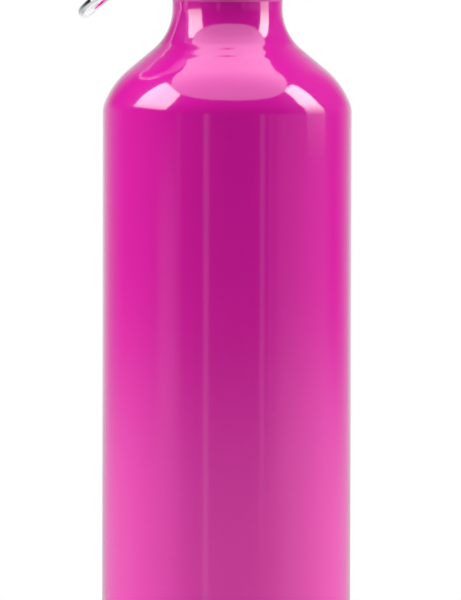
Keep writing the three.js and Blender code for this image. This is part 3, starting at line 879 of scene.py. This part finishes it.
def cap_wall():
    """The cap's outside above its chamfer, with closer rows where the flutes end."""
    low = CAP_BOTTOM + CAP_FOOT_CHAMFER
    high = FLUTE_TOP - FLUTE_RUN_OUT
    wall_rows = 14
    end_rows = 8
    heights = [low + (high - low) * row / wall_rows for row in range(wall_rows + 1)]
    heights += [high + FLUTE_RUN_OUT * row / end_rows for row in range(1, end_rows + 1)]
    return [(cap_wall_radius(height), height) for height in heights]


def cap_inside():
    """The cap's inside, from the axis under the roof to the foot of the skirt."""
    roof = CAP_TOP - CAP_ROOF
    corners = [
        (CAP_ROOF_MIDDLE, roof),
        (CAP_CAVITY_RADIUS, roof),
        (CAP_CAVITY_RADIUS, CAP_LEDGE),
        (CAP_SKIRT_BORE, CAP_LEDGE),
        (CAP_SKIRT_BORE, CAP_BOTTOM + CAP_SKIRT_EDGE),
        (CAP_SKIRT_BORE + CAP_SKIRT_EDGE, CAP_BOTTOM),
    ]
    return [(0, roof), *softened(corners, CAP_INNER_EDGE)]


def cap_profile():
    wall = cap_wall()
    foot_corner = (CAP_BOTTOM_RADIUS - CAP_FOOT_CHAMFER, CAP_BOTTOM)
    foot = softened([(CAP_FOOT_RADIUS, CAP_BOTTOM), foot_corner, wall[0]], CAP_SKIRT_EDGE)
    edge_centre = (CAP_TOP_RADIUS - CAP_EDGE_RADIUS, CAP_TOP - CAP_EDGE_RADIUS)
    edge = arc(edge_centre, CAP_EDGE_RADIUS, CAP_TAPER, QUARTER, steps=12)
    top = [(radius, CAP_TOP) for radius in CAP_TOP_RINGS]
    return foot + wall[1:] + edge + top + cap_inside() + foot[:1]


def loop_section(centre, outward, half_width):
    """A rounded rectangle across the loop: outward is in the loop's plane, and y is through it."""
    half_depth = LOOP_THICKNESS / 2
    corner_steps = 6
    points = []
    for index, (side, depth) in enumerate(((1, -1), (1, 1), (-1, 1), (-1, -1))):
        middle = (side * (half_width - LOOP_EDGE), depth * (half_depth - LOOP_EDGE))
        start = (index - 1) * QUARTER
        for out, through in arc(middle, LOOP_EDGE, start, start + QUARTER, corner_steps):
            points.append((centre[0] + out * outward[0], through, centre[1] + out * outward[1]))
    return points


def carrying_loop():
    """An arch on two legs, whose feet spread where they grow out of the cap."""
    middle = (LOOP_INNER_RADIUS + LOOP_OUTER_RADIUS) / 2
    half_width = (LOOP_OUTER_RADIUS - LOOP_INNER_RADIUS) / 2
    heel = CAP_TOP + LOOP_FOOT_RADIUS
    foot_steps = 8
    leg = [(CAP_TOP - LOOP_ROOT, half_width + LOOP_FOOT_RADIUS)]
    for step in range(foot_steps + 1):
        angle = QUARTER * step / foot_steps
        spread = LOOP_FOOT_RADIUS * (1 - math.sin(angle))
        leg.append((heel - LOOP_FOOT_RADIUS * math.cos(angle), half_width + spread))
    sections = [loop_section((middle, height), (1, 0), width) for height, width in leg]
    arch_steps = 40
    for step in range(arch_steps + 1):
        angle = math.pi * step / arch_steps
        outward = (math.cos(angle), math.sin(angle))
        centre = (middle * outward[0], LOOP_CENTRE_HEIGHT + middle * outward[1])
        sections.append(loop_section(centre, outward, half_width))
    sections += [loop_section((-middle, height), (-1, 0), width) for height, width in reversed(leg)]
    return skin("carrying_loop", sections, ON_LIP)


def cap():
    made = turned("cap", cap_profile(), flute_angles(), fluted, ON_LIP)
    combine(made, carrying_loop(), "UNION")
    plastic = moulded_material(
        "black_plastic", BLACK_PLASTIC, roughness=0.24, grain_scale=2100, grain_depth=0.005
    )
    finish(made, [plastic], "cap", "cap_shell", sharp_degrees=38)


# Carabiner

SIDE_ANGLE = math.asin(
    (LARGE_END_RADIUS - SMALL_END_RADIUS) / (LINK_LENGTH - LARGE_END_RADIUS - SMALL_END_RADIUS)
)
LOOP_REACH = LOOP_INNER_RADIUS - BAR_RADIUS - LOOP_PLAY
LINK_PIVOT = (
    -LOOP_REACH * math.sin(LINK_SLOPE),
    0,
    LIP_TOP + LOOP_CENTRE_HEIGHT + LOOP_REACH * math.cos(LINK_SLOPE),
)


def gate_side(station):
    """A point on the straight side that holds the gate, at a distance from the end of the small bend."""
    return (
        SMALL_END_RADIUS - SMALL_END_RADIUS * math.sin(SIDE_ANGLE) + station * math.cos(SIDE_ANGLE),
        SMALL_END_RADIUS * math.cos(SIDE_ANGLE) + station * math.sin(SIDE_ANGLE),
    )


ON_LINK = (
    Matrix.Translation(LINK_PIVOT) @ Matrix.Rotation(-LINK_SLOPE, 4, "Y") @ Matrix.Rotation(math.pi, 4, "Z")
)
HINGE_PLACE = Matrix.Translation((*gate_side(HINGE_STATION), 0))
ON_HINGE = ON_LINK @ HINGE_PLACE @ Matrix.Rotation(SIDE_ANGLE, 4, "Z")
AT_LATCH = ON_HINGE @ Matrix.Translation((GATE_LENGTH, 0, 0))
ALONG_GATE = ON_HINGE @ Matrix.Rotation(QUARTER, 4, "Y")


def link_line():
    """The bar's centre line, from the hinge round the small end, down the spine and round the far end."""
    side = QUARTER + SIDE_ANGLE
    small = arc((SMALL_END_RADIUS, 0), SMALL_END_RADIUS, side, TURN - side, steps=48)
    large = arc((LINK_LENGTH - LARGE_END_RADIUS, 0), LARGE_END_RADIUS, -side, side, steps=64)
    rows = 8
    spine = [tuple(Vector(small[-1]).lerp(Vector(large[0]), row / rows)) for row in range(1, rows)]
    start = gate_side(HINGE_STATION - HINGE_SETBACK)
    end = gate_side(LATCH_STATION + NOSE_SETBACK)
    return [start, *small, *spine, *large, end]


def bar_section(centre, along, radius):
    """A circle across the bar, at a point of its flat centre line."""
    across = Vector((-along.y, along.x, 0))
    section = []
    for angle in even_angles(BAR_SIDES):
        offset = across * (radius * math.cos(angle)) + Vector((0, 0, radius * math.sin(angle)))
        section.append(tuple(Vector((*centre, 0)) + offset))
    return section


def rounded_end(centre, along, inward):
    """Sections that turn the bar's edge over at one of its ends, from the end inwards."""
    sections = []
    steps = 4
    for step in range(steps):
        angle = QUARTER * step / steps
        radius = BAR_SKIN_RADIUS - BAR_END_ROUND * (1 - math.sin(angle))
        shift = inward * BAR_END_ROUND * (1 - math.cos(angle))
        sections.append(bar_section(tuple(Vector(centre) + along.xy * shift), along, radius))
    return sections


def bent_bar():
    line = link_line()
    directions = []
    for index in range(len(line)):
        before = Vector(line[max(index - 1, 0)])
        after = Vector(line[min(index + 1, len(line) - 1)])
        directions.append(Vector((*(after - before).normalized(), 0)))
    start = rounded_end(line[0], directions[0], 1)
    end = rounded_end(line[-1], directions[-1], -1)
    begin_full = tuple(Vector(line[0]) + directions[0].xy * BAR_END_ROUND)
    stop_full = tuple(Vector(line[-1]) - directions[-1].xy * BAR_END_ROUND)
    middle = [bar_section(begin_full, directions[0], BAR_SKIN_RADIUS)]
    for point, along in zip(line[1:-1], directions[1:-1]):
        middle.append(bar_section(point, along, BAR_SKIN_RADIUS))
    middle.append(bar_section(stop_full, directions[-1], BAR_SKIN_RADIUS))
    return skin("link_bar", start + middle + end[::-1], ON_LINK)


def hinge_tongue():
    """The flat tongue in the gate's fork, with the flat that pushes the plunger as the gate opens."""
    root = -HINGE_SETBACK - JOIN_OVERLAP
    arm = math.asin(TONGUE_ARM_HALF_HEIGHT / TONGUE_RADIUS)
    flat = math.acos(CAM_FLAT / TONGUE_RADIUS)
    outline = [
        (root, TONGUE_ARM_HALF_HEIGHT),
        (root, -TONGUE_ARM_HALF_HEIGHT),
        *arc((0, 0), TONGUE_RADIUS, math.pi + arm, TURN - flat, steps=8),
        *arc((0, 0), TONGUE_RADIUS, flat, math.pi - arm, steps=8),
    ]
    half = TONGUE_THICKNESS / 2
    tongue = plate("tongue", outline, -half, half, ON_HINGE)
    combine(tongue, rod("hole", RIVET_RADIUS + PIN_PLAY, -CLEAR, CLEAR, HOLE_SIDES, ON_HINGE), "DIFFERENCE")
    return tongue


def latch_nose():
    """The flat nose at the bar's other end, with a notch for the gate's pin."""
    tip = GATE_LENGTH - NOSE_REACH
    root = GATE_LENGTH + NOSE_SETBACK + JOIN_OVERLAP
    notch = arc((GATE_LENGTH, 0), NOTCH_HALF_WIDTH, math.pi, 0, steps=12)
    outline = [
        (tip, -NOSE_HALF_HEIGHT),
        (GATE_LENGTH - NOTCH_HALF_WIDTH, -NOSE_HALF_HEIGHT),
        *notch,
        (GATE_LENGTH + NOTCH_HALF_WIDTH, -NOSE_HALF_HEIGHT),
        (root, -NOSE_HALF_HEIGHT),
        (root, NOSE_HALF_HEIGHT),
        (tip, NOSE_HALF_HEIGHT),
    ]
    half = TONGUE_THICKNESS / 2
    return plate("nose", outline, -half, half, ON_HINGE)


def link_bar(metal):
    made = bent_bar()
    combine(made, hinge_tongue(), "UNION")
    combine(made, latch_nose(), "UNION")
    finish(made, [metal], "carabiner", "carabiner_body", sharp_degrees=32)


def gate_plan():
    """The gate's outline from its flat side, with a round knuckle at the hinge."""
    end = GATE_LENGTH + GATE_OVERHANG
    knuckle = arc((0, 0), BAR_RADIUS, QUARTER, 3 * QUARTER, steps=24)
    return [*knuckle, (0, -CLEAR), (end, -CLEAR), (end, CLEAR), (0, CLEAR)]


def link_gate(metal):
    """A round bar with a slot at each end, a bore for the spring and holes for the pins."""
    end = GATE_LENGTH + GATE_OVERHANG
    half_slot = SLOT_WIDTH / 2
    made = rod("link_gate", BAR_RADIUS, -BAR_RADIUS, end + CLEAR, GATE_SIDES, ALONG_GATE)
    combine(made, plate("plan", gate_plan(), -CLEAR, CLEAR, ON_HINGE), "INTERSECT")
    nose_start = GATE_LENGTH - NOSE_SLOT_DEPTH
    cutters = [
        block("hinge_slot", (-CLEAR, -CLEAR, -half_slot), (HINGE_SLOT_END, CLEAR, half_slot), ON_HINGE),
        block("nose_slot", (nose_start, -CLEAR, -half_slot), (end + CLEAR, CLEAR, half_slot), ON_HINGE),
        rod("spring_bore", BORE_RADIUS, CAM_FLAT, BORE_END, HOLE_SIDES, ALONG_GATE),
        rod("rivet_hole", RIVET_RADIUS + PIN_PLAY, -CLEAR, CLEAR, HOLE_SIDES, ON_HINGE),
        rod("pin_hole", PIN_RADIUS + PIN_PLAY, -CLEAR, CLEAR, HOLE_SIDES, AT_LATCH),
    ]
    for cutter in cutters:
        combine(made, cutter, "DIFFERENCE")
    finish(made, [metal], "gate", "carabiner_gate", sharp_degrees=32)


def hinge_rivet(steel):
    head = []
    steps = 6
    for step in range(steps + 1):
        angle = QUARTER * step / steps
        rise = RIVET_HEAD_EDGE + (1 - RIVET_HEAD_EDGE) * math.cos(angle)
        head.append((RIVET_HEAD_RADIUS * math.sin(angle), RIVET_HALF_LENGTH + RIVET_HEAD_HEIGHT * rise))
    top = [*head, (RIVET_HEAD_RADIUS, RIVET_HALF_LENGTH), (RIVET_RADIUS, RIVET_HALF_LENGTH)]
    bottom = [(radius, -height) for radius, height in top]
    made = turned("hinge_rivet", bottom + top[::-1], even_angles(RIVET_SIDES), place=ON_HINGE)
    finish(made, [steel], "carabiner", "gate_hinge_rivet", sharp_degrees=40)


def round_pin(name, radius, low, high, edge, place):
    profile = softened([(0, low), (radius, low), (radius, high), (0, high)], edge)
    return turned(name, profile, even_angles(PIN_SIDES), place=place)


def latch_pin(steel):
    made = round_pin("latch_pin", PIN_RADIUS, -PIN_HALF_LENGTH, PIN_HALF_LENGTH, PIN_EDGE, AT_LATCH)
    finish(made, [steel], "gate", "gate_latch_pin", sharp_degrees=40)


def plunger(steel):
    end = PLUNGER_TIP + PLUNGER_LENGTH
    made = round_pin("plunger", PLUNGER_RADIUS, PLUNGER_TIP, end, PLUNGER_EDGE, ALONG_GATE)
    finish(made, [steel], "plunger", "gate_plunger", sharp_degrees=40)


def spring_centre(turns):
    """A point on the wire's centre line, from the hinge."""
    angle = turns * TURN
    along = SPRING_START + (SPRING_END - SPRING_START) * turns / SPRING_TURNS
    return Vector((along, SPRING_RADIUS * math.cos(angle), SPRING_RADIUS * math.sin(angle)))


def wire_section(turns):
    """A circle across the spring's wire."""
    nudge = 0.01
    centre = spring_centre(turns)
    outward = Vector((0, centre.y, centre.z)).normalized()
    forward = (spring_centre(turns + nudge) - spring_centre(turns - nudge)).normalized()
    across = forward.cross(outward)
    section = []
    for angle in even_angles(SPRING_SIDES):
        offset = outward * math.cos(angle) + across * math.sin(angle)
        section.append(tuple(centre + offset * SPRING_WIRE_RADIUS))
    return section


def spring_wire(steel):
    """The gate's spring, built at one length here, though the real one shortens as the plunger moves into
    the gate.
    """
    sections = [wire_section(step / SPRING_STEPS) for step in range(SPRING_TURNS * SPRING_STEPS + 1)]
    made = skin("spring_wire", sections, ON_HINGE)
    finish(made, [steel], "gate", "gate_spring", sharp_degrees=60)
    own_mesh(made)


def carabiner():
    metal = metal_material("polished_metal", POLISHED_METAL, roughness=0.09, mark_depth=0.0006)
    pin_steel = metal_material("pin_steel", PIN_STEEL, roughness=0.24, mark_depth=0.002)
    spring_steel = metal_material("spring_steel", SPRING_STEEL, roughness=0.3, mark_depth=0.002)
    link_bar(metal)
    link_gate(metal)
    hinge_rivet(pin_steel)
    latch_pin(pin_steel)
    plunger(pin_steel)
    spring_wire(spring_steel)


# Studio

def window(nodes, value, low, high, low_soft, high_soft):
    """1 between two angles in degrees, falling off softly outside them."""
    low, high, low_soft, high_soft = (math.radians(angle) for angle in (low, high, low_soft, high_soft))
    rise = nodes.fitted(value, low - low_soft / 2, low + low_soft / 2, 0, 1, smooth_ends=True)
    fall = nodes.fitted(value, high - high_soft / 2, high + high_soft / 2, 1, 0, smooth_ends=True)
    return nodes.math("MULTIPLY", rise, fall)


def light_sum(nodes, azimuth, elevation, lights):
    total = None
    for around, above, radiance in lights.values():
        share = nodes.math("MULTIPLY", window(nodes, azimuth, *around), window(nodes, elevation, *above))
        part = nodes.math("MULTIPLY", share, radiance)
        total = nodes.math("ADD", total, part) if total else part
    return total


def studio_world():
    """Soft lights by direction, and plain white where the camera looks past the bottle."""
    world = bpy.data.worlds.new("studio")
    bpy.context.scene.world = world
    world.use_nodes = True
    nodes = Nodes(world.node_tree)
    direction = nodes.add("SeparateXYZ", Vector=nodes.add("TexCoord").outputs["Generated"]).outputs
    forward = nodes.math("MULTIPLY", direction["Y"], -1.0)
    azimuth = nodes.math("ARCTAN2", direction["X"], forward)
    elevation = nodes.math("ARCSINE", direction["Z"])
    path = nodes.add("LightPath").outputs
    room = nodes.math("ADD", light_sum(nodes, azimuth, elevation, ROOM), AMBIENT)
    matt = nodes.math("SUBTRACT", 1.0, path["Is Glossy Ray"])
    soft = nodes.math("MULTIPLY", light_sum(nodes, azimuth, elevation, SOFTBOXES), matt)
    total = nodes.math("ADD", room, soft)
    background = world.node_tree.nodes["Background"]
    background.inputs["Color"].default_value = (1, 1, 1, 1)
    nodes.feed(background.inputs["Strength"], nodes.fitted(path["Is Camera Ray"], 0, 1, total, 1.0))


def card_material(name, axis, places, radiances, colour):
    """A glow that changes along one axis, from the first place to the second."""
    material, nodes, _ = new_material(name)
    strength = nodes.fitted(nodes.along(axis), *metres(places), *radiances, smooth_ends=True)
    nodes.show(nodes.add("Emission", Color=scaled(colour, 1.0), Strength=strength).outputs[0])
    return material


def light_card(name, middle, half, squareness, axis, places, radiances, colour):
    """A glowing flat card that only gloss sees. The half size across it is 0."""
    wide, high = (index for index in range(3) if half[index])
    points = []
    for angle in even_angles(STAGE_SIDES):
        point = list(middle)
        for index, part in ((wide, math.cos(angle)), (high, math.sin(angle))):
            point[index] += half[index] * math.copysign(abs(part) ** (2 / squareness), part)
        points.append(point)
    made = piece(name, points, [list(range(len(points)))])
    made.data.materials.append(card_material(name, axis, places, radiances, colour))
    made.visible_camera = False
    made.visible_diffuse = False
    made.visible_transmission = False
    made.visible_shadow = False


def floor_material():
    """A pale matt floor that turns plain white away from the bottle, and then ends."""
    material, nodes, _ = new_material("pale_floor")
    place = nodes.add("TexCoord").outputs["Object"]
    distance = nodes.add("VectorMath", {"operation": "LENGTH"})
    nodes.feed(distance.inputs[0], place)
    away = distance.outputs["Value"]
    grain = nodes.noise(place, scale=900)
    tone = nodes.blend(grain, scaled(FLOOR_COLOUR, 0.985), scaled(FLOOR_COLOUR, 1.015))
    matt = nodes.add("BsdfDiffuse", Color=tone).outputs[0]
    white = nodes.add("Emission", Color=(1, 1, 1, 1), Strength=1.0).outputs[0]
    gone = nodes.add("BsdfTransparent").outputs[0]
    camera = nodes.add("LightPath").outputs["Is Camera Ray"]
    whiter = nodes.fitted(away, *metres(FLOOR_WHITE), 0, 1, smooth_ends=True)
    near = nodes.mixed(nodes.math("MULTIPLY", whiter, camera), matt, white)
    faded = nodes.fitted(away, *metres(FLOOR_FADE), 0, 1, smooth_ends=True)
    nodes.show(nodes.mixed(faded, near, gone))
    return material


def floor():
    angles = even_angles(STAGE_SIDES)
    rim = [(FLOOR_RADIUS * math.cos(angle), FLOOR_RADIUS * math.sin(angle), 0) for angle in angles]
    made = piece("floor", rim, [list(range(STAGE_SIDES))])
    made.data.materials.append(floor_material())


def photo_camera():
    """A long lens at the height of the neck, tilted down a little."""
    data = bpy.data.cameras.new("photo_camera")
    camera = bpy.data.objects.new("photo_camera", data)
    bpy.context.scene.collection.objects.link(camera)
    drop = PICTURE_HEIGHT / 2 * PIXEL
    tilt = math.atan(drop / CAMERA_DISTANCE)
    data.sensor_width = SENSOR
    data.lens = SENSOR * CAMERA_DISTANCE / math.cos(tilt) / (PICTURE_HEIGHT * PIXEL)
    sideways = (PICTURE_WIDTH / 2 - AXIS_PIXEL) * PIXEL
    place = Matrix.Translation(Vector((sideways, -CAMERA_DISTANCE, PICTURE_TOP)) * MM)
    aim = Matrix.Rotation(QUARTER - tilt, 4, "X") @ Matrix.Rotation(CAMERA_ROLL, 4, "Z")
    camera.matrix_world = place @ aim
    data.clip_start = 0.01
    data.clip_end = 100
    bpy.context.scene.camera = camera


photo_camera()
shell()
thread_insert()
seal_washer()
stopper()
cap()
carabiner()
floor()
studio_world()
for card_name, card in CARDS.items():
    light_card(card_name, **card)
bpy.context.scene.view_settings.view_transform = "Standard"
